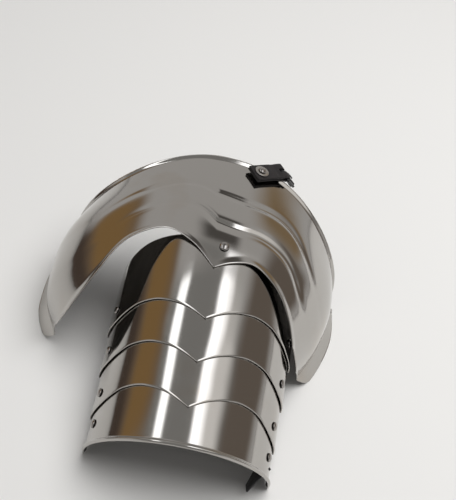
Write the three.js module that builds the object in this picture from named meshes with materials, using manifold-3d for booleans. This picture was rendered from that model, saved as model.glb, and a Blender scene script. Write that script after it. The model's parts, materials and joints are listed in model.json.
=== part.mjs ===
// Steel shoulder defence (pauldron) lying on its rims: a dished shoulder plate riveted over four
// articulated arm lames, with a short leather strap and roller buckle at the neck edge and leather
// arm straps at the lowest lame. Millimetres, +Z up, -Y towards the arm end, +Y towards the neck.
import * as THREE from 'three';
import { mergeVertices } from 'three/addons/utils/BufferGeometryUtils.js';
import Module from 'manifold-3d';

const wasm = await Module();
wasm.setup();

// Driving dimensions
const sheet = 1.2; // thickness of every steel plate
const leather = 2; // thickness of the strap leather
const clearance = 0.3; // gap between pieces that touch
const lapGap = 0.9; // running gap between lapped plates

const armRadius = 82.5; // half width of the lowest lame at its lower edge
const archRatio = 0.94; // height of a lame's arch as a share of its half width
const skirtHeight = 7; // straight side of a lame below its arch
const armSlope = 16; // degrees that the arm tube rises towards the shoulder
const armLength = 195; // from the arm rim to the hidden edge of the top lame, along the crown
const rimExposure = 34.2; // from the arm rim to the first lap, along the crown
const lamePitch = 39.8; // from one lap to the next
const lameTaper = 0.016; // radius a lame loses per millimetre towards the shoulder
const edgeRise = 15; // how far the two arches of a lower edge rise above its middle point
const rimFlare = 2.2; // how far the arm rim turns outwards
const rimWidth = 6; // width of the turned arm rim
const tuck = 14; // how far a lame reaches under the next one beyond its rivets
const topShoulder = 30; // how far the top lame's hidden edge falls back at its sides
const lameCorner = 9; // radius of a lame's lower side corners

const rivetInset = 13; // from a lower edge to its rivets
const rivetAngle = 68; // degrees from the crown to a side rivet
const armStrapInset = 20; // from the arm rim to its strap rivets
const rivetHead = 4; // radius of a rivet's domed head
const rivetRise = 2.3; // height of the dome
const rivetShank = 1.6; // radius of a rivet's shank
const rivetTail = 2.9; // radius of the flattened end inside
const rivetTailRise = 1; // thickness of that end

const plateLap = 82.45; // how far the arm tube reaches under the shoulder plate's sections
const plateDepth = 190; // depth that those sections span towards the neck
const frontSpread = 71.5; // how far the larger wing stands out past the arm's half width
const rearSpread = 59.5; // how far the smaller wing stands out past the arm's half width
const crownRise = 5.01; // height of the shoulder plate's crown above the top lame's hidden edge
const wideHeight = 28; // height at which its walls are widest
const crownShift = 18; // how far the crown moves towards the larger wing at the neck
const wallTurn = 100; // degrees of wall from the crown to the foot
const footBorder = 13; // width of the border turned out along each foot
const creaseDepth = 1.6; // depth of the two embossed creases
const neckFlare = 1.6; // how far the neck edge turns up
const armFlare = 1.2; // how far the arm edge turns up
const footCorner = 8; // radius of the feet's outer corners

const strapWidth = 19; // width of the neck strap
const strapTurn = 0.165; // where its rivet sits round the shoulder plate's arch
const strapShare = 0.895; // and between the arm edge and the neck edge
const strapTail = 9; // strap behind its rivet
const strapReach = 27; // from the strap's rivet to the buckle's bar
const strapDroop = 18; // degrees that the strap bends down before the buckle
const strapFlat = 9; // straight strap in front of its rivet
const strapHeading = [1, 0.75, 0]; // way that the neck strap runs, which the rivets' facets follow too
const washerRadius = 7;
const washerRise = 1;
const buckleWire = 1.3; // radius of the buckle's wire
const buckleLength = 16; // from the buckle's bar to its roller
const buckleDroop = 20; // degrees that the buckle hangs below the strap's end
const rollerWall = 1;
const tongueSlot = 4.6; // width of the slot cut for the tongue
const tongueWidth = 2.8;
const tongueTip = 3; // how far the tongue reaches past the roller's middle
const armStrapWidth = 18; // width of the arm straps
const armStrapFree = 30; // free end of the arm strap that hangs to the ground

const rad = Math.PI / 180;
const steel = new THREE.MeshStandardMaterial({ color: 0xa3a3a5, roughness: 0.22, metalness: 1 });
const rivetSteel = new THREE.MeshStandardMaterial({ color: 0x7d7c7b, roughness: 0.3, metalness: 1 });
const blackLeather = new THREE.MeshStandardMaterial({ color: 0x17151a, roughness: 0.62, metalness: 0 });
const blackIron = new THREE.MeshStandardMaterial({ color: 0x232225, roughness: 0.4, metalness: 0.8 });

// Lower edge of a lame: rise as a share of edgeRise, by angle as a share of the half section
const lameEdge = [
  { at: 0, rise: 0 },
  { at: 0.05, rise: 0.2 },
  { at: 0.13, rise: 0.64 },
  { at: 0.22, rise: 0.88 },
  { at: 0.33, rise: 1 },
  { at: 0.46, rise: 0.86 },
  { at: 0.59, rise: 0.42 },
  { at: 0.72, rise: 0 },
  { at: 0.86, rise: -0.2 },
  { at: 1, rise: -0.25 },
];

// Sections of the shoulder plate from its arm side to its neck side, as shares of the two spreads
const plateSections = [
  { at: 0, front: 0.752, rear: 0.165 },
  { at: 0.24, front: 1, rear: 0.594 },
  { at: 0.47, front: 0.97, rear: 0.817 },
  { at: 0.71, front: 0.711, rear: 0.859 },
  { at: 1, front: 0.526, rear: 1 },
];

// Crown of the shoulder plate, as a share of crownHeight
const plateCrown = [
  { at: 0.08, height: 0.891 },
  { at: 0.19, height: 0.928 },
  { at: 0.32, height: 0.976 },
  { at: 0.55, height: 1 },
  { at: 0.76, height: 0.992 },
  { at: 1, height: 0.962 },
];

// Arm edge and neck edge of the shoulder plate round its arch, from the larger wing's foot (-1)
// over the crown (0) to the smaller wing's foot (1), as shares of plateDepth from plateFront
const armEdge = [
  { turn: -1.08, at: 0.058 },
  { turn: -0.9, at: 0.024 },
  { turn: -0.75, at: -0.012 },
  { turn: -0.6, at: 0.024 },
  { turn: -0.45, at: 0.117 },
  { turn: -0.3, at: 0.272 },
  { turn: -0.18, at: 0.318 },
  { turn: -0.08, at: 0.254 },
  { turn: 0, at: 0.142 },
  { turn: 0.08, at: 0.181 },
  { turn: 0.18, at: 0.209 },
  { turn: 0.3, at: 0.172 },
  { turn: 0.45, at: 0.092 },
  { turn: 0.6, at: 0.014 },
  { turn: 0.75, at: -0.03 },
  { turn: 0.9, at: 0.02 },
  { turn: 1.08, at: 0.082 },
];
const neckEdge = [
  { turn: -1.08, at: 0.664 },
  { turn: -0.75, at: 0.7 },
  { turn: -0.5, at: 0.743 },
  { turn: -0.25, at: 0.813 },
  { turn: 0, at: 0.867 },
  { turn: 0.25, at: 0.85 },
  { turn: 0.5, at: 0.74 },
  { turn: 0.75, at: 0.648 },
  { turn: 1.08, at: 0.62 },
];

// The two creases: place between the arm edge and the neck edge, and depth as a share of creaseDepth
const creases = [
  { turn: -1.08, near: 0.26, far: 0.55, depth: 0 },
  { turn: -0.5, near: 0.26, far: 0.55, depth: 0.05 },
  { turn: -0.25, near: 0.28, far: 0.56, depth: 0.35 },
  { turn: -0.05, near: 0.38, far: 0.63, depth: 0.7 },
  { turn: 0.06, near: 0.28, far: 0.56, depth: 1 },
  { turn: 0.17, near: 0.25, far: 0.53, depth: 1 },
  { turn: 0.28, near: 0.27, far: 0.57, depth: 1 },
  { turn: 0.38, near: 0.26, far: 0.56, depth: 1 },
  { turn: 0.46, near: 0.2, far: 0.46, depth: 0.6 },
  { turn: 0.6, near: 0.2, far: 0.42, depth: 0.1 },
  { turn: 1.08, near: 0.2, far: 0.42, depth: 0 },
];

// Value of a table's column by its key column, through smooth monotone pieces
function lookUp(table, key, column, at) {
  const last = table.length - 1;
  if (at <= table[0][key]) return table[0][column];
  if (at >= table[last][key]) return table[last][column];
  const slope = (i) => (table[i + 1][column] - table[i][column]) / (table[i + 1][key] - table[i][key]);
  const tangent = (i) => {
    if (i === 0) return slope(0);
    if (i === last) return slope(last - 1);
    const [a, b] = [slope(i - 1), slope(i)];
    return a * b <= 0 ? 0 : (2 * a * b) / (a + b);
  };
  let i = 0;
  while (at > table[i + 1][key]) i += 1;
  const span = table[i + 1][key] - table[i][key];
  const t = (at - table[i][key]) / span;
  const [h1, h2] = [t * t * (3 - 2 * t), t * (1 - t) * (1 - t)];
  const h3 = t * t * (t - 1);
  return table[i][column] * (1 - h1) + table[i + 1][column] * h1
    + span * (h2 * tangent(i) + h3 * tangent(i + 1));
}

function geometryFrom(positions, faces) {
  const geometry = new THREE.BufferGeometry();
  geometry.setAttribute('position', new THREE.Float32BufferAttribute(positions, 3));
  geometry.setIndex(faces);
  geometry.computeVertexNormals();
  return geometry;
}

// Normal of a surface given by a function of two values
function surfaceNormal(surface, u, v, step) {
  const alongU = surface(u + step, v).sub(surface(u - step, v));
  const alongV = surface(u, v + step).sub(surface(u, v - step));
  return alongU.cross(alongV).normalize();
}

// Closed plate: an outer grid of points, the same grid one thickness further in, and the rims
function plateGeometry(outer, normals, thickness) {
  const [rows, columns] = [outer.length, outer[0].length];
  const positions = [];
  for (const depth of [0, thickness]) {
    for (let i = 0; i < rows; i += 1) {
      for (let j = 0; j < columns; j += 1) {
        const point = outer[i][j].clone().addScaledVector(normals[i][j], -depth);
        positions.push(point.x, point.y, point.z);
      }
    }
  }
  const faces = [];
  const inner = rows * columns;
  const quad = (a, b, c, d) => faces.push(a, b, c, a, c, d);
  for (let i = 0; i + 1 < rows; i += 1) {
    for (let j = 0; j + 1 < columns; j += 1) {
      const [a, b] = [i * columns + j, i * columns + j + 1];
      const [c, d] = [b + columns, a + columns];
      quad(a, b, c, d);
      quad(inner + a, inner + d, inner + c, inner + b);
    }
  }
  const rim = [];
  for (let j = 0; j < columns; j += 1) rim.push(j);
  for (let i = 1; i < rows; i += 1) rim.push(i * columns + columns - 1);
  for (let j = columns - 2; j >= 0; j -= 1) rim.push((rows - 1) * columns + j);
  for (let i = rows - 2; i > 0; i -= 1) rim.push(i * columns);
  rim.forEach((a, k) => {
    const b = rim[(k + 1) % rim.length];
    quad(b, a, inner + a, inner + b);
  });
  return geometryFrom(positions, faces);
}

function solidFrom(geometry, matrix = new THREE.Matrix4()) {
  const bare = geometry.clone().applyMatrix4(matrix);
  bare.deleteAttribute('normal');
  bare.deleteAttribute('uv');
  const merged = mergeVertices(bare, 1e-4);
  return new wasm.Manifold(new wasm.Mesh({
    numProp: 3,
    vertProperties: new Float32Array(merged.attributes.position.array),
    triVerts: new Uint32Array(merged.index.array),
  }));
}

function geometryOf(solid) {
  const mesh = solid.getMesh();
  return geometryFrom(Array.from(mesh.vertProperties), Array.from(mesh.triVerts));
}

function extrude(outline, depth, curveSegments) {
  return new THREE.ExtrudeGeometry(outline, { depth, bevelEnabled: false, curveSegments });
}

// Places an object so that its +Y axis leaves a surface point along the surface's normal
function frameAt(point, normal) {
  const heading = new THREE.Vector3(...strapHeading);
  const x = heading.clone().addScaledVector(normal, -heading.dot(normal)).normalize();
  const z = new THREE.Vector3().crossVectors(x, normal);
  return new THREE.Matrix4().makeBasis(x, normal, z).setPosition(point);
}

function addMesh(parent, name, geometry, material, matrix = new THREE.Matrix4()) {
  const mesh = new THREE.Mesh(geometry, material);
  mesh.name = name;
  mesh.applyMatrix4(matrix);
  parent.add(mesh);
  return mesh;
}

// Hole along a surface's normal, long enough for two lapped plates
function drill(solid, matrix, radius) {
  const hole = new THREE.CylinderGeometry(radius, radius, 24, 12);
  return solid.subtract(solidFrom(hole, matrix));
}

// Rivet with a domed head at its origin's surface and a flattened end past what it grips
function rivetGeometry(grip, head = rivetHead) {
  const points = [];
  const steps = 4;
  const seat = clearance;
  for (let i = 0; i <= steps; i += 1) {
    const turn = (i / steps) * 90 * rad;
    points.push(new THREE.Vector2(head * Math.sin(turn), seat + rivetRise * Math.cos(turn)));
  }
  const end = -grip - clearance;
  points.push(new THREE.Vector2(rivetShank, seat));
  points.push(new THREE.Vector2(rivetShank, end));
  points.push(new THREE.Vector2(rivetTail, end));
  points.push(new THREE.Vector2(rivetTail * 0.8, end - rivetTailRise));
  points.push(new THREE.Vector2(0, end - rivetTailRise));
  points.reverse();
  return new THREE.LatheGeometry(points, 12);
}

// Arm tube. Its own frame has +Y along the tube from the arm rim and +Z up through the crown.
const lameCount = 4;
const lapStep = sheet + lapGap - lameTaper * lamePitch;
const lameBase = (k) => (k === lameCount ? 0 : rimExposure + (lameCount - 1 - k) * lamePitch);
const lameRivet = (k) => lameBase(k) + rivetInset;
const edgeRadius = (k) => armRadius + (lameCount - k) * lapStep;
const pivotDepth = archRatio * armRadius * (1 - Math.cos(rivetAngle * rad));
const halfSection = 90 + (skirtHeight / armRadius) / rad;

// Point of lame k's outer face: turn in degrees from the crown, place along the tube
function lamePoint(k, turn, along) {
  const radius = edgeRadius(k) - lameTaper * (along - lameBase(k));
  const side = Math.sign(turn);
  const angle = Math.min(Math.abs(turn), 90);
  const below = Math.max(Math.abs(turn) - 90, 0) / (halfSection - 90);
  const lap = k > 1 ? Math.max(along - lameRivet(k - 1), 0) : 0;
  const dip = (lap * lap) / (2 * pivotDepth);
  const flare = k === lameCount ? rimFlare * Math.max(1 - along / rimWidth, 0) ** 2 : 0;
  const arch = archRatio * radius * Math.cos(angle * rad);
  return new THREE.Vector3(
    side * ((radius + flare) * Math.sin(angle * rad)),
    along,
    skirtHeight * (1 - below) + arch + (flare - dip) * Math.cos(angle * rad),
  );
}

function lameNormal(k, turn, along) {
  return surfaceNormal((u, v) => lamePoint(k, u, v), turn, along, 0.05);
}

function lameLowerEdge(k, turn) {
  if (k === lameCount) return 0;
  const share = Math.abs(turn) / halfSection;
  const fromSide = (1 - share) * halfSection * rad * armRadius;
  const corner = fromSide < lameCorner
    ? lameCorner - Math.sqrt(lameCorner ** 2 - (lameCorner - fromSide) ** 2)
    : 0;
  return lameBase(k) + edgeRise * lookUp(lameEdge, 'at', 'rise', share) + corner;
}

function lameUpperEdge(k, turn) {
  if (k > 1) return lameRivet(k - 1) + tuck;
  return armLength - topShoulder * (1 - Math.cos(turn * rad)) ** 1.5;
}

function lameSolid(k) {
  const columns = 34;
  const rows = k === lameCount ? [0, 0.03, 0.07, 0.13, 0.5, 0.8, 1] : [0, 0.35, 0.68, 0.84, 1];
  if (k === 1) rows.splice(0, rows.length, 0, 0.25, 0.5, 0.75, 1);
  const [outer, normals] = [[], []];
  for (const share of rows) {
    const [points, directions] = [[], []];
    for (let j = 0; j <= columns; j += 1) {
      const turn = (2 * (j / columns) - 1) * halfSection;
      const along = THREE.MathUtils.lerp(lameLowerEdge(k, turn), lameUpperEdge(k, turn), share);
      points.push(lamePoint(k, turn, along));
      directions.push(lameNormal(k, turn, along));
    }
    outer.push(points);
    normals.push(directions);
  }
  return solidFrom(plateGeometry(outer, normals, sheet));
}

const rivetPlace = (k, turn, along) => frameAt(lamePoint(k, turn, along), lameNormal(k, turn, along));
const holeRadius = rivetShank + clearance;
const sides = [{ name: 'left', sign: -1 }, { name: 'right', sign: 1 }];

// Rivet places: one pair at each lap, and the pair that holds the arm straps
const lapRivets = [];
for (let k = 1; k < lameCount; k += 1) {
  for (const side of sides) {
    const matrix = rivetPlace(k, side.sign * rivetAngle, lameRivet(k));
    lapRivets.push({ name: `lame_rivet_${k}_${side.name}`, upper: k, matrix });
  }
}
const strapRivets = sides.map((side) => ({
  name: `arm_strap_rivet_${side.name}`,
  matrix: rivetPlace(lameCount, side.sign * (rivetAngle + 2), armStrapInset),
}));

// Shoulder plate: turn runs round the arch, -1 to 1 from foot to foot, and past that its borders
const footTurn = 1.08;
const plateFront = armLength * Math.cos(armSlope * rad) - plateLap;
const armTop = armLength * Math.sin(armSlope * rad)
  + (skirtHeight + archRatio * edgeRadius(1)) * Math.cos(armSlope * rad);
const crownHeight = armTop + crownRise;

function platePoint(turn, share) {
  const armSide = lookUp(armEdge, 'turn', 'at', turn);
  const neckSide = lookUp(neckEdge, 'turn', 'at', turn);
  const at = THREE.MathUtils.lerp(armSide, neckSide, share);
  const border = THREE.MathUtils.clamp((Math.abs(turn) - 1) / (footTurn - 1), 0, 1);
  const wing = armRadius + (turn < 0 ? frontSpread * lookUp(plateSections, 'at', 'front', at)
    : rearSpread * lookUp(plateSections, 'at', 'rear', at));
  const crown = crownHeight * lookUp(plateCrown, 'at', 'height', at);
  const angle = Math.min(Math.abs(turn), 1) * wallTurn * rad;
  const out = wing * Math.sin(angle) + footBorder * border * 0.85;
  const height = wideHeight + (crown - wideHeight) * Math.cos(angle);
  return new THREE.Vector3(
    1 - crownShift * at + Math.sign(turn) * out,
    plateFront + plateDepth * at,
    height * (1 - border),
  );
}

// How far the plate stands out or in from that surface: creases, raised bands and turned edges
function plateRelief(turn, share) {
  const near = lookUp(creases, 'turn', 'near', turn);
  const far = lookUp(creases, 'turn', 'far', turn);
  const depth = creaseDepth * lookUp(creases, 'turn', 'depth', turn);
  const groove = (place) => Math.exp(-(((share - place) / 0.035) ** 2));
  const neck = neckFlare * THREE.MathUtils.smoothstep(share, 0.92, 1);
  const arm = armFlare * (1 - THREE.MathUtils.smoothstep(share, 0, 0.05)) * Math.min(1, Math.abs(turn) * 5);
  return neck + arm - depth * (groove(near) + groove(far));
}

function reliefPoint(turn, share) {
  const normal = surfaceNormal(platePoint, turn, share, 0.002);
  return platePoint(turn, share).addScaledVector(normal, plateRelief(turn, share));
}

// Rows follow the two creases, so that their lines stay sharp
function plateRow(row, turn) {
  const near = lookUp(creases, 'turn', 'near', turn);
  const far = lookUp(creases, 'turn', 'far', turn);
  const rows = [
    0, 0.05, near * 0.55, near - 0.045, near, near + 0.045,
    (near + far) / 2, far - 0.045, far, far + 0.045, (far + 0.92) / 2, 0.92, 1,
  ];
  return rows[row];
}
const plateRows = 13;

// Feet have rounded outer corners: their border starts later and ends sooner further out
function cornerShare(turn, share) {
  const border = THREE.MathUtils.clamp((Math.abs(turn) - 1) / (footTurn - 1), 0, 1);
  const span = plateDepth * (lookUp(neckEdge, 'turn', 'at', turn) - lookUp(armEdge, 'turn', 'at', turn));
  const inset = (footCorner / span) * (1 - Math.sqrt(1 - (border * 0.98) ** 2));
  return THREE.MathUtils.lerp(inset, 1 - inset, share);
}

function plateSolid() {
  const turns = [];
  for (let j = 0; j <= 46; j += 1) turns.push(-1 + (2 * j) / 46);
  turns.unshift(-1.08, -1.07, -1.045);
  turns.push(1.045, 1.07, 1.08);
  turns.push(-0.02, 0.02);
  turns.sort((a, b) => a - b);
  const [outer, normals] = [[], []];
  for (let i = 0; i < plateRows; i += 1) {
    const [points, directions] = [[], []];
    for (const turn of turns) {
      const share = cornerShare(turn, plateRow(i, turn));
      points.push(reliefPoint(turn, share));
      directions.push(surfaceNormal(platePoint, turn, share, 0.004));
    }
    outer.push(points);
    normals.push(directions);
  }
  return solidFrom(plateGeometry(outer, normals, sheet));
}

const strapGap = 2 * clearance + rimFlare / 3; // between the arm straps and the wall they lie on
const part = new THREE.Group();
const arm = new THREE.Group();
arm.rotation.x = armSlope * rad;
arm.updateMatrix();
const armMatrix = arm.matrix.clone();

// The shoulder plate swivels on one rivet near the top lame's hidden edge
const swivelTurn = 3;
const swivelAlong = armLength - 10;
const swivelInArm = rivetPlace(1, swivelTurn, swivelAlong);
const swivelOnLame = armMatrix.clone().multiply(swivelInArm);

// Where a line from a point along a direction meets the shoulder plate's outer face
function plateHit(origin, direction) {
  let [turn, share] = [0.03, 0.15];
  for (let i = 0; i < 30; i += 1) {
    const miss = reliefPoint(turn, share).sub(origin);
    miss.addScaledVector(direction, -miss.dot(direction));
    const alongTurn = reliefPoint(turn + 0.01, share).sub(reliefPoint(turn - 0.01, share)).divideScalar(0.02);
    const alongShare = reliefPoint(turn, share + 0.01).sub(reliefPoint(turn, share - 0.01)).divideScalar(0.02);
    turn = THREE.MathUtils.clamp(turn - miss.dot(alongTurn) / alongTurn.lengthSq(), -0.9, 0.9);
    share = THREE.MathUtils.clamp(share - miss.dot(alongShare) / alongShare.lengthSq(), 0.02, 0.98);
  }
  return { turn, share, point: reliefPoint(turn, share) };
}

for (let k = 1; k <= lameCount; k += 1) {
  let solid = lameSolid(k);
  for (const rivet of lapRivets) {
    if (rivet.upper === k || rivet.upper === k - 1) solid = drill(solid, rivet.matrix, holeRadius);
  }
  if (k === lameCount) {
    for (const rivet of strapRivets) solid = drill(solid, rivet.matrix, holeRadius);
  }
  if (k === 1) solid = drill(solid, swivelInArm, holeRadius);
  addMesh(arm, `lame_${k}`, geometryOf(trimmed(solid, armMatrix)), steel);
}
for (const rivet of lapRivets) {
  addMesh(arm, rivet.name, rivetGeometry(2 * sheet + lapGap), rivetSteel, rivet.matrix);
}
for (const rivet of strapRivets) {
  addMesh(arm, rivet.name, rivetGeometry(sheet + strapGap + leather), rivetSteel, rivet.matrix);
}
part.add(arm);

const swivelAxis = new THREE.Vector3().setFromMatrixColumn(swivelOnLame, 1);
const swivelFoot = new THREE.Vector3().setFromMatrixPosition(swivelOnLame);
const swivelHit = plateHit(swivelFoot, swivelAxis);
const swivelMatrix = frameAt(swivelHit.point, swivelAxis);
const swivelGrip = swivelHit.point.distanceTo(swivelFoot) + sheet;

// Everything below the ground is trimmed off, so that the feet and the rim's corners stand flat
function trimmed(solid, matrix = new THREE.Matrix4()) {
  const span = 4 * plateDepth;
  const ground = new THREE.BoxGeometry(span, span, plateDepth).translate(0, 0, -plateDepth / 2);
  return solid.subtract(solidFrom(ground, matrix.clone().invert()));
}

const strapFoot = reliefPoint(strapTurn, strapShare);
const strapNormal = surfaceNormal(platePoint, strapTurn, strapShare, 0.01);
const strapMatrix = frameAt(strapFoot, strapNormal);

// Neck strap, in a frame with +X along the strap, +Y off the plate and +Z across the strap
const layerPitch = leather + clearance;
const strapSeat = 2 * clearance + neckFlare;
const eyeRadius = buckleWire + clearance + leather / 2;
const barHeight = strapSeat + leather / 2 + eyeRadius;

// Bends the strap's length down past its flat stretch
function bent(along, height, reach = strapReach) {
  const turn = strapDroop * rad * Math.max(along - strapFlat, 0) / (reach - strapFlat);
  const radius = (reach - strapFlat) / (strapDroop * rad);
  if (turn === 0) return new THREE.Vector2(along, height);
  const bend = radius + height;
  return new THREE.Vector2(strapFlat + bend * Math.sin(turn), bend * Math.cos(turn) - radius);
}

// The strap goes out under the buckle's bar, round it and back: its middle line from end to end
function strapLine() {
  const low = strapSeat + leather / 2;
  const line = [[-strapTail, low], [0, low], [strapFlat, low], [strapFlat + 5, low], [strapFlat + 10, low]];
  for (let i = 0; i <= 8; i += 1) {
    const turn = (-90 + 22.5 * i) * rad;
    line.push([strapReach + eyeRadius * Math.cos(turn), barHeight + eyeRadius * Math.sin(turn)]);
  }
  const high = low + layerPitch;
  line.push([strapReach - 4.5, high + 1.5], [strapReach - 8.5, high + 0.1]);
  line.push([strapFlat + 5, high], [strapFlat, high], [0, high], [-strapTail, high]);
  return line.map(([along, height]) => new THREE.Vector2(along, height));
}

function neckStrapGeometry() {
  const line = strapLine();
  const offset = (side) => line.map((point, i) => {
    const before = line[Math.max(i - 1, 0)];
    const after = line[Math.min(i + 1, line.length - 1)];
    const across = after.clone().sub(before).normalize();
    const half = side * leather / 2;
    const place = new THREE.Vector2(point.x - across.y * half, point.y + across.x * half);
    return bent(place.x, place.y);
  });
  const outline = new THREE.Shape([...offset(1), ...offset(-1).reverse()]);
  const band = extrude(outline, strapWidth, 1);
  band.translate(0, 0, -strapWidth / 2);
  const slot = new THREE.BoxGeometry(2 * eyeRadius + 7, 30, tongueSlot);
  slot.translate(bent(strapReach, barHeight).x + 1, bent(strapReach, barHeight).y, 0);
  const hole = new THREE.CylinderGeometry(holeRadius, holeRadius, 24, 12);
  return geometryOf(solidFrom(band).subtract(solidFrom(slot)).subtract(solidFrom(hole)));
}

const barPlace = bent(strapReach, barHeight);
const buckleMatrix = new THREE.Matrix4()
  .makeRotationZ(-(strapDroop + buckleDroop) * rad)
  .setPosition(barPlace.x, barPlace.y, 0)
  .premultiply(strapMatrix);

// Buckle frame: four round bars and the balls at its corners, joined to one closed ring
function buckleFrameGeometry() {
  const half = strapWidth / 2 + 2 * clearance + buckleWire;
  const rod = (length) => new THREE.CylinderGeometry(buckleWire, buckleWire, length, 10);
  const bars = [
    rod(2 * half).rotateX(90 * rad),
    rod(2 * half).rotateX(90 * rad).translate(buckleLength, 0, 0),
    rod(buckleLength).rotateZ(90 * rad).translate(buckleLength / 2, 0, half),
    rod(buckleLength).rotateZ(90 * rad).translate(buckleLength / 2, 0, -half),
  ];
  for (const x of [0, buckleLength]) {
    for (const z of [half, -half]) {
      bars.push(new THREE.SphereGeometry(buckleWire * 1.04, 10, 6).translate(x, 0, z));
    }
  }
  const solids = bars.map((bar) => solidFrom(bar));
  return geometryOf(solids.reduce((sum, bar) => sum.add(bar)));
}

function ringOutline(outer, inner) {
  const outline = new THREE.Shape().absarc(0, 0, outer, 0, 2 * Math.PI);
  outline.holes.push(new THREE.Path().absarc(0, 0, inner, 0, 2 * Math.PI, true));
  return outline;
}

const ringBore = buckleWire + clearance;
const rollerRadius = ringBore + rollerWall;

function rollerGeometry() {
  const length = strapWidth - 1;
  const roller = extrude(ringOutline(rollerRadius, ringBore), length, 8);
  return roller.translate(buckleLength, 0, -length / 2);
}

// Tongue: a ring round the bar and a prong that lies on the roller
function tongueGeometry() {
  const eye = ringBore + 1.2;
  const rise = rollerRadius + clearance;
  const outline = new THREE.Shape();
  outline.moveTo(0, eye);
  outline.absarc(0, 0, eye, 90 * rad, -30 * rad, false);
  outline.lineTo(eye + 2.4, ringBore * 0.4);
  outline.lineTo(buckleLength - rollerRadius, rise);
  outline.lineTo(buckleLength + tongueTip, rise);
  outline.lineTo(buckleLength + tongueTip - 0.8, rise + 1.3);
  outline.lineTo(buckleLength - 2, rise + 1.7);
  outline.lineTo(4, eye + 1);
  outline.holes.push(new THREE.Path().absarc(0, 0, ringBore, 0, 2 * Math.PI, true));
  const tongue = extrude(outline, tongueWidth, 7);
  return tongue.translate(0, 0, -tongueWidth / 2);
}

// Strap laid through stations, each a middle point and the direction across the strap
function ribbonGeometry(stations, width, thickness) {
  const [outer, normals] = [[], []];
  stations.forEach(({ middle, across }, i) => {
    const before = stations[Math.max(i - 1, 0)].middle;
    const after = stations[Math.min(i + 1, stations.length - 1)].middle;
    const forward = after.clone().sub(before).normalize();
    const side = across.clone().addScaledVector(forward, -across.dot(forward)).normalize();
    const normal = new THREE.Vector3().crossVectors(side, forward);
    const points = [-0.5, -0.25, 0, 0.25, 0.5].map((place) => middle.clone()
      .addScaledVector(side, place * width).addScaledVector(normal, thickness / 2));
    outer.push(points);
    normals.push(points.map(() => normal));
  });
  return plateGeometry(outer, normals, thickness);
}

// Arm straps: riveted inside the lowest lame, one lying along its wall, one hanging to the ground
function armStrapStations(sign, free) {
  const stations = [];
  const depth = sheet + strapGap + leather / 2;
  const across = new THREE.Vector3(0, 1, 0);
  const top = free ? -12 : -16;
  for (let i = 0; i <= 5; i += 1) {
    const turn = sign * (rivetAngle + 2 + THREE.MathUtils.lerp(top, free ? 9 : 14, i / 5));
    const middle = lamePoint(lameCount, turn, armStrapInset)
      .addScaledVector(lameNormal(lameCount, turn, armStrapInset), -depth);
    stations.push({ middle, across });
  }
  if (free) {
    const last = stations[stations.length - 1].middle;
    for (let i = 1; i <= 5; i += 1) {
      const share = i / 5;
      const middle = last.clone().add(new THREE.Vector3(
        -sign * armStrapFree * 0.5 * share,
        -armStrapFree * 0.62 * share,
        -armStrapFree * 0.5 * share,
      ));
      const leaning = new THREE.Vector3(0, 1 - 0.35 * share, -0.6 * share);
      stations.push({ middle, across: leaning });
    }
  }
  return stations;
}

function armStrapGeometry(sign, free) {
  const rivet = strapRivets[sign < 0 ? 0 : 1];
  const band = solidFrom(ribbonGeometry(armStrapStations(sign, free), armStrapWidth, leather));
  return geometryOf(trimmed(drill(band, rivet.matrix, holeRadius), armMatrix));
}

const plate = trimmed(drill(drill(plateSolid(), swivelMatrix, holeRadius), strapMatrix, holeRadius));
addMesh(part, 'main_plate', geometryOf(plate), steel);
addMesh(part, 'crown_rivet', rivetGeometry(swivelGrip, rivetHead + 0.5), rivetSteel, swivelMatrix);

const washer = extrude(ringOutline(washerRadius, holeRadius), washerRise, 10);
washer.rotateX(-90 * rad);
const strapTop = strapSeat + 2 * leather + clearance;
const washerSeat = new THREE.Matrix4().makeTranslation(0, strapTop + clearance, 0);
const washerMatrix = strapMatrix.clone().multiply(washerSeat);
const strapRivetMatrix = strapMatrix.clone()
  .multiply(new THREE.Matrix4().makeTranslation(0, strapTop + clearance + washerRise, 0));
addMesh(part, 'neck_strap', neckStrapGeometry(), blackLeather, strapMatrix);
addMesh(part, 'neck_strap_washer', washer, rivetSteel, washerMatrix);
const strapGrip = strapTop + 2 * clearance + washerRise + sheet;
addMesh(part, 'neck_strap_rivet', rivetGeometry(strapGrip), rivetSteel, strapRivetMatrix);
addMesh(part, 'buckle_frame', buckleFrameGeometry(), blackIron, buckleMatrix);
addMesh(part, 'buckle_roller', rollerGeometry(), blackIron, buckleMatrix);
addMesh(part, 'buckle_tongue', tongueGeometry(), blackIron, buckleMatrix);
addMesh(arm, 'arm_strap_left', armStrapGeometry(-1, false), blackLeather);
addMesh(arm, 'arm_strap_right', armStrapGeometry(1, true), blackLeather);

// The whole part stands on the ground, centred on its origin
const pauldron = new THREE.Group();
pauldron.add(part);
pauldron.updateMatrixWorld(true);
const extent = new THREE.Box3().setFromObject(part, true);
const centre = extent.getCenter(new THREE.Vector3());
part.position.set(-centre.x, -centre.y, -extent.min.z);

export default pauldron;
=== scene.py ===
import json
import math

import bmesh
import bpy
import numpy as np
from mathutils import Matrix, Vector


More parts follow.
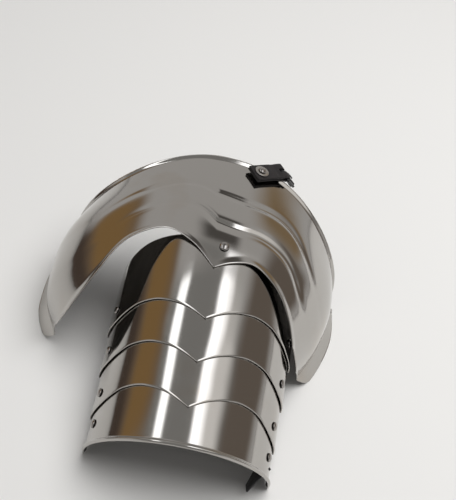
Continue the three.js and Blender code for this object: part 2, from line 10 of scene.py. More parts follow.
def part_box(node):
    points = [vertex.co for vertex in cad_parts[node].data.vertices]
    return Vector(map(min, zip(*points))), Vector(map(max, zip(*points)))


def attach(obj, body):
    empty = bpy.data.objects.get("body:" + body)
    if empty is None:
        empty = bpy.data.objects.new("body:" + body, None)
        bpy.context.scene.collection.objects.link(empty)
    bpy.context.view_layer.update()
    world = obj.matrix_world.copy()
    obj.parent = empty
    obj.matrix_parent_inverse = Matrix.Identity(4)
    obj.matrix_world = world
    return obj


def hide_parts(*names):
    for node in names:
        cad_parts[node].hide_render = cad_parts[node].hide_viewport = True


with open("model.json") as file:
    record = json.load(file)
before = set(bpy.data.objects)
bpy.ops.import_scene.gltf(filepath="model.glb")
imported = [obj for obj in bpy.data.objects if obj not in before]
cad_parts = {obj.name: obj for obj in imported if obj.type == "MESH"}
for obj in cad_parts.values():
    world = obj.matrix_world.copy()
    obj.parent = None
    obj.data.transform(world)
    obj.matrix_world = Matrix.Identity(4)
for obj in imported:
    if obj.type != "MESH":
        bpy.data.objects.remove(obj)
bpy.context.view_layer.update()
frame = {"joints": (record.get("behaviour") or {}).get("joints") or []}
mm = 0.001
rad = math.pi / 180


def linearColour(hexCode):
    # sRGB hex to the linear colour that Blender's sockets take
    channels = [int(hexCode[i:i + 2], 16) / 255 for i in (1, 3, 5)]
    return [c / 12.92 if c <= 0.04045 else ((c + 0.055) / 1.055) ** 2.4 for c in channels] + [1.0]


def addNode(tree, kind, settings=None, inputs=None):
    # one node with its settings; an input, by name or number, is a value or a socket that it is linked to
    node = tree.nodes.new(kind)
    for name, value in (settings or {}).items():
        setattr(node, name, value)
    for name, value in (inputs or {}).items():
        if isinstance(value, bpy.types.NodeSocket):
            tree.links.new(value, node.inputs[name])
        else:
            node.inputs[name].default_value = value
    return node


def smoothCurve(points, blur=0.0):
    # monotone curve through (place, value) points; blur evens its bends, as a share of its length
    places = np.array([p[0] for p in points], float)
    values = np.array([p[1] for p in points], float)
    slopes = np.diff(values) / np.diff(places)
    product = slopes[:-1] * slopes[1:]
    safe = np.where(product > 0, slopes[:-1] + slopes[1:], 1)
    inside = np.where(product > 0, 2 * product / safe, 0)
    tangents = np.concatenate([[slopes[0]], inside, [slopes[-1]]])
    count = 2001
    at = np.linspace(places[0], places[-1], count)
    i = np.clip(np.searchsorted(places, at, side="right") - 1, 0, len(places) - 2)
    span = places[i + 1] - places[i]
    t = (at - places[i]) / span
    h1 = t * t * (3 - 2 * t)
    curve = values[i] * (1 - h1) + values[i + 1] * h1
    curve = curve + span * (t * (1 - t) ** 2 * tangents[i] + t * t * (t - 1) * tangents[i + 1])
    if blur > 0:
        half = int(3 * blur * count)
        kernel = np.exp(-0.5 * (np.arange(-half, half + 1) / (blur * count)) ** 2)
        low = 2 * curve[0] - curve[half:0:-1]
        high = 2 * curve[-1] - curve[-2:-half - 2:-1]
        curve = np.convolve(np.concatenate([low, curve, high]), kernel / kernel.sum(), mode="valid")
    return lambda where: np.interp(where, at, curve)


def smoothStep(value, low, high):
    t = np.clip((value - low) / (high - low), 0, 1)
    return t * t * (3 - 2 * t)


def surfaceNormals(surface, u, v, du, dv):
    alongU = surface(u + du, v) - surface(u - du, v)
    alongV = surface(u, v + dv) - surface(u, v - dv)
    normal = np.cross(alongU, alongV)
    return normal / np.linalg.norm(normal, axis=-1, keepdims=True)


def newObject(name, data):
    made = bpy.data.objects.new(name, data)
    bpy.context.scene.collection.objects.link(made)
    return made


def meshFrom(name, points, faces):
    # points in mm
    mesh = bpy.data.meshes.new(name)
    mesh.from_pydata([tuple(p) for p in np.array(points, float) * mm], [], faces)
    mesh.update()
    mesh.shade_smooth()
    return mesh


def finalMesh(holder):
    # the mesh that an object's modifiers or curve settings give
    graph = bpy.context.evaluated_depsgraph_get()
    return bpy.data.meshes.new_from_object(holder.evaluated_get(graph), depsgraph=graph)


def rimOf(rows, columns):
    # the grid places round the edge of a sheet, once round
    rim = [(0, j) for j in range(columns)]
    rim += [(i, columns - 1) for i in range(1, rows)]
    rim += [(rows - 1, j) for j in range(columns - 2, -1, -1)]
    rim += [(i, 0) for i in range(rows - 2, 0, -1)]
    return rim


# a sheet's edge in four steps: how far down its thickness, and how far out as a share of its roundness
edgeSteps = [(0.12, 0.55), (0.35, 0.95), (0.65, 0.95), (0.88, 0.55)]


def sheetMesh(name, outer, normals, thickness, roundness=0.42, ground=None, inside=None):
    # a closed sheet: an outer grid, its inner face, and rounded edges all the way round
    rows, columns = outer.shape[:2]
    rim = rimOf(rows, columns)
    i, j = np.array(rim).T
    edge, facing = outer[i, j], normals[i, j]
    inward = outer[np.clip(i, 1, rows - 2), np.clip(j, 1, columns - 2)] - edge
    inward = inward - facing * np.sum(inward * facing, 1, keepdims=True)
    inward = inward / (np.linalg.norm(inward, axis=1, keepdims=True) + 1e-12)
    size = rows * columns
    points = [outer.reshape(-1, 3), (outer - normals * thickness).reshape(-1, 3)]
    for share, reach in edgeSteps:
        points.append(edge - facing * thickness * share - inward * thickness * roundness * reach)
    points = np.concatenate(points)
    if ground is not None:
        points[:, 2] = np.maximum(points[:, 2], ground)
    faces = []
    for i in range(rows - 1):
        for j in range(columns - 1):
            a, b = i * columns + j, i * columns + j + 1
            c, d = b + columns, a + columns
            faces.append((a, b, c, d))
            faces.append((size + a, size + d, size + c, size + b))
    top = [i * columns + j for i, j in rim]
    rings = [[2 * size + step * len(rim) + k for k in range(len(rim))] for step in range(len(edgeSteps))]
    chain = [top, *rings, [size + place for place in top]]
    for near, far in zip(chain[:-1], chain[1:]):
        for k in range(len(rim)):
            m = (k + 1) % len(rim)
            faces.append((near[m], near[k], far[k], far[m]))
    mesh = meshFrom(name, points, faces)
    if inside is not None:
        mesh.materials.append(None)
        mesh.materials.append(inside)
        for number in range((rows - 1) * (columns - 1)):
            mesh.polygons[2 * number + 1].material_index = 1
    return newObject(name, mesh)


def finishPiece(piece, body, material, replaced=()):
    if len(piece.data.materials) == 2:
        piece.data.materials[0] = material  # the other slot is the inside of a plate
    else:
        piece.data.materials.clear()
        piece.data.materials.append(material)
    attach(piece, body)
    if replaced:
        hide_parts(*replaced)
    return piece


def newMaterial(name):
    material = bpy.data.materials.new(name)
    material.use_nodes = True
    tree = material.node_tree
    tree.nodes.clear()
    output = addNode(tree, "ShaderNodeOutputMaterial")
    shader = addNode(tree, "ShaderNodeBsdfPrincipled")
    tree.links.new(shader.outputs["BSDF"], output.inputs["Surface"])
    place = addNode(tree, "ShaderNodeTexCoord").outputs["Object"]
    return material, tree, shader, place


def mixColours(tree, share, first, second):
    # blends two colours, each a hex code, a linear colour or a socket
    first, second = [linearColour(c) if isinstance(c, str) else c for c in (first, second)]
    return addNode(tree, "ShaderNodeMix", {"data_type": "RGBA"}, {"Factor": share, 6: first, 7: second}).outputs[2]


def mapRange(tree, value, span, result=(0.0, 1.0)):
    limits = dict(zip(("From Min", "From Max", "To Min", "To Max"), (*span, *result)))
    return addNode(tree, "ShaderNodeMapRange", None, {"Value": value, **limits}).outputs["Result"]


def addBump(tree, height, depth, strength, normal=None):
    inputs = {"Height": height, "Distance": depth, "Strength": strength}
    if normal is not None:
        inputs["Normal"] = normal
    return addNode(tree, "ShaderNodeBump", None, inputs).outputs["Normal"]


# Polished carbon steel sheet, hammered to shape and buffed on a wheel: a mirror that is slightly
# soft, with long buffing marks, faint hammer waves and thin patches of brown from handling
steelFinish = {
    "colour": "#b3b0ac", "stainColour": "#a39583",
    "roughness": (0.065, 0.13), "roughFrom": (0.5, 1.1), "buffShare": 0.6,
    "buffPerMetre": 900, "buffStretch": (0.06, 1.0, 1.0),  # marks about a millimetre wide, long across the arm
    "patchPerMetre": 14.0, "stainFrom": (0.55, 0.75), "stainMost": 0.35,
    "waveLength": 0.055, "waveDepth": 0.0003, "waveStrength": 0.35,
    "grit": 0.00012, "gritStrength": 0.035,
}


def polishedSteel(name, finish, paintedRimShade=False):
    material, tree, shader, place = newMaterial(name)
    laid = addNode(tree, "ShaderNodeMapping", None,
                   {"Vector": place, "Scale": finish["buffStretch"]}).outputs["Vector"]
    buff = addNode(tree, "ShaderNodeTexNoise", None,
                   {"Vector": laid, "Scale": finish["buffPerMetre"], "Detail": 3.0, "Roughness": 0.6})
    patches = addNode(tree, "ShaderNodeTexNoise", None,
                      {"Vector": place, "Scale": finish["patchPerMetre"], "Detail": 4.0, "Roughness": 0.55})
    stain = mapRange(tree, patches.outputs["Fac"], finish["stainFrom"], (0.0, finish["stainMost"]))
    shown = mixColours(tree, stain, finish["colour"], finish["stainColour"])
    # painted shade: a near-black colour laid over the low rim of each rivet head
    if paintedRimShade:
        paintedShadeMask = addNode(tree, "ShaderNodeAttribute", {"attribute_name": "paintedRimShade"})
        shown = mixColours(tree, paintedShadeMask.outputs["Fac"], shown, finish["paintedShadeColour"])
    tree.links.new(shown, shader.inputs["Base Color"])
    blend = addNode(tree, "ShaderNodeMath", {"operation": "MULTIPLY_ADD"},
                    {0: buff.outputs["Fac"], 1: finish["buffShare"], 2: patches.outputs["Fac"]})
    rough = mapRange(tree, blend.outputs[0], finish["roughFrom"], finish["roughness"])
    tree.links.new(rough, shader.inputs["Roughness"])
    shader.inputs["Metallic"].default_value = 1.0
    waves = addNode(tree, "ShaderNodeTexNoise", None,
                    {"Vector": place, "Scale": 1 / finish["waveLength"], "Detail": 1.0, "Roughness": 0.3})
    swell = addBump(tree, waves.outputs["Fac"], finish["waveDepth"] * 10, finish["waveStrength"])
    fine = addBump(tree, buff.outputs["Fac"], finish["grit"], finish["gritStrength"], swell)
    tree.links.new(fine, shader.inputs["Normal"])
    return material


# Vegetable-tanned cowhide, dyed black and waxed: dark brown-black with a dull sheen, pores and
# creases about a millimetre apart
leatherFinish = {
    "colour": "#121012", "wornColour": "#262223", "wornFrom": (0.45, 0.75), "roughness": (0.42, 0.66),
    "roughFrom": (0.3, 0.7),
    "poreWidth": 0.0011, "poreDepth": 0.00025, "poreStrength": 0.6,  # coarse enough to show in the render
    "creaseLength": 0.009, "creaseDepth": 0.0006, "creaseStrength": 0.5,
}


def blackLeather(finish):
    material, tree, shader, place = newMaterial("waxedBlackLeather")
    pores = addNode(tree, "ShaderNodeTexVoronoi", {"feature": "DISTANCE_TO_EDGE"},
                    {"Vector": place, "Scale": 1 / finish["poreWidth"]})
    creases = addNode(tree, "ShaderNodeTexNoise", None,
                      {"Vector": place, "Scale": 1 / finish["creaseLength"], "Detail": 5.0, "Roughness": 0.65})
    worn = mapRange(tree, creases.outputs["Fac"], finish["wornFrom"])
    shown = mixColours(tree, worn, finish["colour"], finish["wornColour"])
    tree.links.new(shown, shader.inputs["Base Color"])
    rough = mapRange(tree, creases.outputs["Fac"], finish["roughFrom"], finish["roughness"])
    tree.links.new(rough, shader.inputs["Roughness"])
    folds = addBump(tree, creases.outputs["Fac"], finish["creaseDepth"], finish["creaseStrength"])
    grain = addBump(tree, pores.outputs["Distance"], finish["poreDepth"], finish["poreStrength"], folds)
    tree.links.new(grain, shader.inputs["Normal"])
    return material


# Mild steel buckle, black enamelled: near-black gloss that is worn to grey metal in spots
buckleFinish = {"colour": "#141416", "wornColour": "#5b5a58", "wornFrom": (0.6, 0.68), "roughness": 0.34,
                "spot": 0.004, "spotDepth": 0.0002, "spotStrength": 0.3}


def blackEnamel(finish):
    material, tree, shader, place = newMaterial("blackEnamelledIron")
    spots = addNode(tree, "ShaderNodeTexNoise", None,
                    {"Vector": place, "Scale": 1 / finish["spot"], "Detail": 4.0})
    worn = mapRange(tree, spots.outputs["Fac"], finish["wornFrom"])
    shown = mixColours(tree, worn, finish["colour"], finish["wornColour"])
    tree.links.new(shown, shader.inputs["Base Color"])
    tree.links.new(worn, shader.inputs["Metallic"])
    shader.inputs["Roughness"].default_value = finish["roughness"]
    bump = addBump(tree, spots.outputs["Fac"], finish["spotDepth"], finish["spotStrength"])
    tree.links.new(bump, shader.inputs["Normal"])
    return material


plainSteel = {**steelFinish, "buffStretch": (1, 1, 1)}
rivetFinish = {**plainSteel, "colour": "#9c9895", "paintedShadeColour": "#1d1917", "waveDepth": 0.00004,
               "roughness": (0.14, 0.24)}  # polished heads, their low rims darkened with painted shade
insideFinish = {**plainSteel, "colour": "#55524f", "stainColour": "#473f38",
                "roughness": (0.38, 0.55)}  # not polished: left grey-black from the hammer and the fire, and painted darker still as the shade inside the shell
washerFinish = {**plainSteel, "colour": "#b4b1ac", "roughness": (0.26, 0.4)}
shoulderSteel = polishedSteel("buffedSteelShoulder", steelFinish)
lameSteel = polishedSteel("buffedSteelLames", steelFinish)
rivetSteel = polishedSteel("turnedSteelRivets", rivetFinish, paintedRimShade=True)
insideSteel = polishedSteel("forgedSteelInside", insideFinish)
washerSteel = polishedSteel("pressedSteelWasher", washerFinish)
leatherLook = blackLeather(leatherFinish)
buckleLook = blackEnamel(buckleFinish)
print("materials made")

# the arm's four lames in mm, in a frame of their own: y runs up the tube, turn is degrees from its crown
arm = {
    "sheet": 1.2, "radius": 82.5, "archRatio": 0.94, "skirt": 7, "slope": 16, "length": 195,
    "rimExposure": 34.2, "pitch": 39.8, "lapGap": 0.9, "taper": 0.016, "edgeRise": 15,
    "flare": 2.0, "beadPlace": 1.9, "beadHalf": 2.9, "rimCorner": 5, "tuck": 14, "shoulder": 30, "corner": 9,
    "rivetInset": 13, "rivetAngle": 68, "count": 4, "columns": 300, "rows": 46,
    "beadRows": 16, "beadShare": 0.11, "upperRows": 40,
    "edge": [(0, 0), (0.05, 0.27), (0.13, 0.64), (0.22, 0.88), (0.33, 1), (0.46, 0.86), (0.59, 0.42),
             (0.72, 0), (0.86, -0.2), (1, -0.25)],
}
lapStep = arm["sheet"] + arm["lapGap"] - arm["taper"] * arm["pitch"]
halfSection = 90 + arm["skirt"] / arm["radius"] / rad
pivotDepth = arm["archRatio"] * arm["radius"] * (1 - math.cos(arm["rivetAngle"] * rad))
lameEdge = smoothCurve(arm["edge"], 0.02)


def lameBase(k):
    return 0 if k == arm["count"] else arm["rimExposure"] + (arm["count"] - 1 - k) * arm["pitch"]


def lameRivet(k):
    return lameBase(k) + arm["rivetInset"]


def lamePoint(k, turn, along):
    radius = arm["radius"] + (arm["count"] - k) * lapStep - arm["taper"] * (along - lameBase(k))
    angle = np.minimum(np.abs(turn), 90) * rad
    below = np.maximum(np.abs(turn) - 90, 0) / (halfSection - 90)
    lap = np.maximum(along - lameRivet(k - 1), 0) if k > 1 else 0 * along
    dip = lap ** 2 / (2 * pivotDepth)
    flare = 0 * along
    if k == arm["count"]:
        away = np.clip((along - arm["beadPlace"]) / arm["beadHalf"], -1, 1)
        flare = arm["flare"] * 0.5 * (1 + np.cos(math.pi * away))  # the edge is rolled into a bead
    arch = arm["archRatio"] * radius * np.cos(angle)
    x = np.sign(turn) * (radius + flare) * np.sin(angle)
    z = arm["skirt"] * (1 - below) + arch + (flare - dip) * np.cos(angle)
    return np.stack(np.broadcast_arrays(x, along, z), -1)


def lameNormals(k, turn, along):
    step = 0.05  # degrees and mm
    return surfaceNormals(lambda u, v: lamePoint(k, u, v), turn, along, step, step)


def lameLowerEdge(k, turn):
    bend = arm["rimCorner"] if k == arm["count"] else arm["corner"]
    share = np.abs(turn) / halfSection
    fromSide = (1 - share) * halfSection * rad * arm["radius"]
    inset = np.clip(bend - fromSide, 0, bend)
    corner = bend - np.sqrt(bend ** 2 - inset ** 2)
    rise = 0 if k == arm["count"] else arm["edgeRise"] * lameEdge(share)
    return lameBase(k) + rise + corner


def lameUpperEdge(k, turn):
    if k > 1:
        return lameRivet(k - 1) + arm["tuck"] + 0 * turn
    return arm["length"] - arm["shoulder"] * (1 - np.cos(turn * rad)) ** 1.5


slopeTurn = Matrix.Rotation(arm["slope"] * rad, 3, "X")
slopeArray = np.array(slopeTurn)

# the model's origin is the middle of its box, so the arm's own frame is placed by its last hinge
pivotJoint = next(j for j in frame["joints"] if j["name"] == "lame_3_pivot")
pivotOwn = lamePoint(3, np.array(arm["rivetAngle"] * 1.0), np.array(lameRivet(3))) @ slopeArray.T
frameShift = np.array([pivotJoint["pos_m"][0] / mm, pivotJoint["pos_m"][1] / mm - pivotOwn[1], 0.0])


def armToFrame(points):
    return points @ slopeArray.T + frameShift


def makeLame(k):
    turn = halfSection * np.linspace(-1, 1, arm["columns"] + 1)
    rows = np.linspace(0, 1, arm["rows"])
    if k == arm["count"]:  # closer rows where the rim is rolled
        bead = arm["beadShare"]
        rows = np.concatenate([np.linspace(0, bead, arm["beadRows"]), np.linspace(bead, 1, arm["upperRows"])[1:]])
    turnGrid, rowGrid = np.meshgrid(turn, rows)
    low, high = lameLowerEdge(k, turnGrid), lameUpperEdge(k, turnGrid)
    alongGrid = low + (high - low) * rowGrid
    outer = armToFrame(lamePoint(k, turnGrid, alongGrid))
    normals = lameNormals(k, turnGrid, alongGrid) @ slopeArray.T
    piece = sheetMesh(f"lame_{k}_plate", outer, normals, arm["sheet"], ground=0.0, inside=insideSteel)
    return finishPiece(piece, f"lame_{k}", lameSteel, [f"lame_{k}"])


for k in range(1, arm["count"] + 1):
    makeLame(k)
print("lames made")

# the shoulder plate: turn runs from the larger wing (-1) over the crown to the smaller one (1), and share
# from the arm edge (0) to the neck edge (1)
shoulder = {
    "sheet": 1.2, "lap": 82.45, "depth": 190, "frontSpread": 71.5, "rearSpread": 59.5,
    "crownRise": 5.01, "wideHeight": 28, "crownShift": 18, "wallTurn": 98, "border": 10, "footTurn": 1.08,
    "creaseDepth": 1.6, "creaseWidth": 0.035, "armFlare": 1.2, "armFlareTo": 0.05, "corner": 8, "columns": 261,
    "neckFlare": 2.2, "neckFrom": 0.952, "neckTo": 0.982, "neckRoll": 0.9, "rollFrom": 0.978, "rollWidth": 0.022,
    "sections": [(0, 0.752, 0.165), (0.24, 1, 0.594), (0.47, 0.97, 0.817), (0.71, 0.711, 0.859), (1, 0.526, 1)],
    "crown": [(0.08, 0.891), (0.19, 0.928), (0.32, 0.976), (0.55, 1), (0.76, 0.992), (1, 0.962)],
    "armEdge": [(-1.08, 0.058), (-0.9, 0.024), (-0.75, -0.012), (-0.6, 0.024), (-0.45, 0.117), (-0.3, 0.272),
                (-0.18, 0.318), (-0.08, 0.254), (0, 0.142), (0.08, 0.181), (0.18, 0.209), (0.3, 0.172),
                (0.45, 0.092), (0.6, 0.014), (0.75, -0.03), (0.9, 0.02), (1.08, 0.082)],
    "neckEdge": [(-1.08, 0.664), (-0.75, 0.7), (-0.5, 0.743), (-0.25, 0.813), (0, 0.867), (0.25, 0.85),
                 (0.5, 0.74), (0.75, 0.648), (1.08, 0.62)],
    "creases": [(-1.08, 0.26, 0.55, 0), (-0.5, 0.26, 0.55, 0.05), (-0.25, 0.28, 0.56, 0.35),
                (-0.05, 0.38, 0.63, 0.7), (0.06, 0.28, 0.56, 1), (0.17, 0.25, 0.53, 1), (0.28, 0.27, 0.57, 1),
                (0.38, 0.26, 0.56, 1), (0.46, 0.2, 0.46, 0.6), (0.6, 0.2, 0.42, 0.1), (1.08, 0.2, 0.42, 0)],
}
armTop = arm["length"] * math.sin(arm["slope"] * rad)
armTop += (arm["skirt"] + arm["archRatio"] * (arm["radius"] + 3 * lapStep)) * math.cos(arm["slope"] * rad)
crownHeight = armTop + shoulder["crownRise"]
plateFront = arm["length"] * math.cos(arm["slope"] * rad) - shoulder["lap"]
frontCurve = smoothCurve([(s[0], s[1]) for s in shoulder["sections"]], 0.05)
rearCurve = smoothCurve([(s[0], s[2]) for s in shoulder["sections"]], 0.05)
crownCurve = smoothCurve(shoulder["crown"], 0.05)
armWest = smoothCurve([p for p in shoulder["armEdge"] if p[0] <= 0], 0.012)
armEast = smoothCurve([p for p in shoulder["armEdge"] if p[0] >= 0], 0.012)
neckCurve = smoothCurve(shoulder["neckEdge"], 0.03)
nearCrease = smoothCurve([(c[0], c[1]) for c in shoulder["creases"]], 0.02)
farCrease = smoothCurve([(c[0], c[2]) for c in shoulder["creases"]], 0.02)
creaseShare = smoothCurve([(c[0], c[3]) for c in shoulder["creases"]], 0.02)


def armCurve(turn):
    return np.where(turn < 0, armWest(turn), armEast(turn))  # two halves that meet in the cusp


def platePoint(turn, share):
    at = armCurve(turn) * (1 - share) + neckCurve(turn) * share
    border = np.maximum((np.abs(turn) - 1) / (shoulder["footTurn"] - 1), 0)
    spread = np.where(turn < 0, shoulder["frontSpread"] * frontCurve(at), shoulder["rearSpread"] * rearCurve(at))
    angle = np.minimum(np.abs(turn), 1) * shoulder["wallTurn"] * rad
    out = (arm["radius"] + spread) * np.sin(angle) + shoulder["border"] * border
    crown = crownHeight * crownCurve(at)
    height = shoulder["wideHeight"] + (crown - shoulder["wideHeight"]) * np.cos(angle)
    x = 1 - shoulder["crownShift"] * at + np.sign(turn) * out
    return np.stack([x, plateFront + shoulder["depth"] * at, height * (1 - border)], -1)


def plateRelief(turn, share):
    depth = shoulder["creaseDepth"] * creaseShare(turn)
    grooves = sum(np.exp(-((share - place(turn)) / shoulder["creaseWidth"]) ** 2)
                  for place in (nearCrease, farCrease))
    neck = shoulder["neckFlare"] * smoothStep(share, shoulder["neckFrom"], shoulder["neckTo"])
    roll = np.clip((share - shoulder["rollFrom"]) / shoulder["rollWidth"], 0, 1.5)
    neck = neck - shoulder["neckRoll"] * roll ** 2
    edge = shoulder["armFlare"] * (1 - smoothStep(share, 0, shoulder["armFlareTo"]))
    edge = edge * np.minimum(1, np.abs(turn) * 5)  # the cusp at the crown stays flat
    return neck + edge - depth * grooves


def reliefPoint(turn, share):
    normal = surfaceNormals(platePoint, turn, share, 0.002, 0.002)
    return platePoint(turn, share) + normal * plateRelief(turn, share)[..., None]


def cornerShare(turn, share):
    border = np.clip((np.abs(turn) - 1) / (shoulder["footTurn"] - 1), 0, 1)
    span = shoulder["depth"] * (neckCurve(turn) - armCurve(turn))
    inset = shoulder["corner"] / span * (1 - np.sqrt(1 - (border * 0.98) ** 2))
    return inset + (1 - 2 * inset) * share


def makeShoulderPlate():
    foot = shoulder["footTurn"]
    bends = np.linspace(-0.99, 0.99, shoulder["columns"])
    borders = np.concatenate([[0.996, 1.0, 1.004], np.linspace(1.01, foot, 12)])  # close where the feet turn out
    turns = np.concatenate([-borders[::-1], bends, borders])
    low, high = 0.05, 0.94  # rows stand closer in the two turned edges
    rows = np.concatenate([np.linspace(0, low, 13), np.linspace(low, high, 118)[1:], np.linspace(high, 1, 30)[1:]])
    turnGrid, rowGrid = np.meshgrid(turns, rows)
    shareGrid = cornerShare(turnGrid, rowGrid)
    outer = reliefPoint(turnGrid, shareGrid)
    normals = surfaceNormals(reliefPoint, turnGrid, shareGrid, 0.004, 0.004)
    piece = sheetMesh("shoulder_plate", outer + frameShift, normals, shoulder["sheet"], ground=0.0,
                      inside=insideSteel)
    return finishPiece(piece, "shoulder", shoulderSteel, ["main_plate"])


makeShoulderPlate()
print("shoulder plate made")

# domed rivets in mm: a head, a shank and a flattened tail at each place, set there by Geometry Nodes
rivet = {"head": 4.0, "crownHead": 4.5, "rise": 2.3, "seat": 0.3, "shank": 1.6, "tail": 2.9, "tailRise": 1.0,
         "tailEnd": 1.3, "domeTurn": 80, "brim": 0.45, "paintedShadeRise": 0.75, "strapGap": 1.33, "strapTurn": 70,
         "strapAlong": 20}


def latheMesh(name, profile, count=40, paintedShadeBelow=None):
    # profile: (radius, height) from the top of the axis to its foot; painted shade darkens the low rim below the
    # given height
    turns = np.linspace(0, 2 * math.pi, count, endpoint=False)
    points, starts, faces = [], [], []
    for radius, height in profile:
        starts.append(len(points))
        ring = [(radius * math.cos(a), radius * math.sin(a), height) for a in turns]
        points += ring if radius > 0 else [(0, 0, height)]
    steps = list(zip(range(len(profile) - 1), range(1, len(profile))))
    if profile[0][0] > 0:
        steps.append((len(profile) - 1, 0))  # a ring with a bore closes on itself
    for one, two in steps:
        a, b = starts[one], starts[two]
        for i in range(count):
            m = (i + 1) % count
            if profile[one][0] == 0:
                faces.append((a, b + i, b + m))
            elif profile[two][0] == 0:
                faces.append((a + i, b, a + m))
            else:
                faces.append((a + i, b + i, b + m, a + m))
    mesh = meshFrom(name, points, faces)
    paintedRimShade = mesh.attributes.new("paintedRimShade", "FLOAT", "POINT")
    low = paintedShadeBelow if paintedShadeBelow is not None else -1e9
    paintedRimShade.data.foreach_set("value", [float(np.clip((low - p[2]) / 0.5, 0, 1)) for p in points])
    return bpy.data.objects.new(name, mesh)


def domeProfile(radius, rise, seat):
    last, brim = rivet["domeTurn"] * rad, rivet["brim"]
    profile = []
    for a in np.linspace(0, rivet["domeTurn"], 12) * rad:
        height = (rise - brim) * (math.cos(a) - math.cos(last)) / (1 - math.cos(last))
        profile.append((radius * math.sin(a) / math.sin(last), seat + brim + height))
    return profile + [(radius * 0.99, seat + 0.2), (radius * 0.93, seat + 0.03), (radius * 0.8, seat), (0, seat)]


def rivetTree():
    tree = bpy.data.node_groups.new("rivetsOnPlate", "GeometryNodeTree")
    for label, kind in (("Geometry", "Geometry"), ("Head", "Object"), ("Shank", "Object"), ("Tail", "Object"),
                        ("Steel", "Material")):
        tree.interface.new_socket(label, in_out="INPUT", socket_type="NodeSocket" + kind)
    tree.interface.new_socket("Geometry", in_out="OUTPUT", socket_type="NodeSocketGeometry")
    given = addNode(tree, "NodeGroupInput")
    facing, grip, width = [
        addNode(tree, "GeometryNodeInputNamedAttribute", {"data_type": kind}, {"Name": name}).outputs["Attribute"]
        for name, kind in (("facing", "FLOAT_VECTOR"), ("grip", "FLOAT"), ("width", "FLOAT"))]
    turned = addNode(tree, "FunctionNodeAlignRotationToVector", {"axis": "Z"},
                     {"Vector": facing}).outputs["Rotation"]
    headSize = addNode(tree, "ShaderNodeCombineXYZ", None, {"X": width, "Y": width, "Z": 1.0})
    shankSize = addNode(tree, "ShaderNodeCombineXYZ", None, {"X": 1.0, "Y": 1.0, "Z": grip})
    down = addNode(tree, "ShaderNodeMath", {"operation": "MULTIPLY"}, {0: grip, 1: -mm})
    drop = addNode(tree, "ShaderNodeVectorMath", {"operation": "SCALE"}, {"Vector": facing, "Scale": down.outputs[0]})
    sunk = addNode(tree, "GeometryNodeSetPosition", None,
                   {"Geometry": given.outputs["Geometry"], "Offset": drop.outputs["Vector"]})
    joined = addNode(tree, "GeometryNodeJoinGeometry")
    for label, places, scale in (("Head", given.outputs["Geometry"], headSize.outputs["Vector"]),
                                 ("Shank", given.outputs["Geometry"], shankSize.outputs["Vector"]),
                                 ("Tail", sunk.outputs["Geometry"], None)):
        shape = addNode(tree, "GeometryNodeObjectInfo", None, {"Object": given.outputs[label]})
        placed = addNode(tree, "GeometryNodeInstanceOnPoints", None,
                         {"Points": places, "Instance": shape.outputs["Geometry"], "Rotation": turned})
        if scale is not None:
            tree.links.new(scale, placed.inputs["Scale"])
        tree.links.new(placed.outputs["Instances"], joined.inputs["Geometry"])
    real = addNode(tree, "GeometryNodeRealizeInstances", None, {"Geometry": joined.outputs["Geometry"]})
    painted = addNode(tree, "GeometryNodeSetMaterial", None,
                      {"Geometry": real.outputs["Geometry"], "Material": given.outputs["Steel"]})
    output = addNode(tree, "NodeGroupOutput")
    tree.links.new(painted.outputs["Geometry"], output.inputs["Geometry"])
    return tree


# painted shade darkens each head's rim up to a little above its seat
rivetHead = latheMesh("rivetHead", domeProfile(rivet["head"], rivet["rise"], rivet["seat"]),
                      paintedShadeBelow=rivet["seat"] + rivet["paintedShadeRise"])
# the shank is a millimetre long, so that its scale is its length
rivetShank = latheMesh("rivetShank", [(0, 0.0), (rivet["shank"], 0.0), (rivet["shank"], -1.0), (0, -1.0)], 20)
rivetTail = latheMesh("rivetTail", [(0, -rivet["seat"]), (rivet["tail"], -rivet["seat"]), (rivet["tail"], -0.8),
                                    (rivet["tail"] * 0.8, -rivet["tailEnd"]), (0, -rivet["tailEnd"])], 24)
rivetShapes = {"Head": rivetHead, "Shank": rivetShank, "Tail": rivetTail}
rivetNodes = rivetTree()


def makeRivets(name, body, places, replaced):
    # places: (point, outward direction, grip in mm, head size as a share)
    mesh = meshFrom(name, [p[0] for p in places], [])
    facing = np.concatenate([np.array(p[1], float) for p in places])
    mesh.attributes.new("facing", "FLOAT_VECTOR", "POINT").data.foreach_set("vector", facing)
    for number, label in ((2, "grip"), (3, "width")):
        mesh.attributes.new(label, "FLOAT", "POINT").data.foreach_set("value", [float(p[number]) for p in places])
    holder = newObject(name + "_places", mesh)
    nodes = holder.modifiers.new("rivets", "NODES")
    nodes.node_group = rivetNodes
    given = {item.name: item.identifier for item in rivetNodes.interface.items_tree if item.in_out == "INPUT"}
    for label, shape in rivetShapes.items():
        nodes[given[label]] = shape
    nodes[given["Steel"]] = rivetSteel
    made = finalMesh(holder)
    made.name = name
    made.shade_smooth()
    bpy.data.objects.remove(holder)
    return finishPiece(newObject(name, made), body, rivetSteel, replaced)


def lameSeat(k, turn, along):
    turn, along = np.array(float(turn)), np.array(float(along))
    return armToFrame(lamePoint(k, turn, along)), lameNormals(k, turn, along) @ slopeArray.T


lapGrip = 2 * arm["sheet"] + arm["lapGap"]
for k in range(1, arm["count"]):
    seats = [lameSeat(k, side * arm["rivetAngle"], lameRivet(k)) for side in (-1, 1)]
    makeRivets(f"lap_rivets_{k}", f"lame_{k}", [(p, n, lapGrip, 1.0) for p, n in seats],
               [f"lame_rivet_{k}_left", f"lame_rivet_{k}_right"])
seats = [lameSeat(arm["count"], side * rivet["strapTurn"], rivet["strapAlong"]) for side in (-1, 1)]
strapGrip = arm["sheet"] + rivet["strapGap"] + 2.0  # 2 mm of leather
makeRivets("arm_strap_rivets", "lame_4", [(p, n, strapGrip, 1.0) for p, n in seats],
           ["arm_strap_rivet_left", "arm_strap_rivet_right"])
print("lap rivets made")

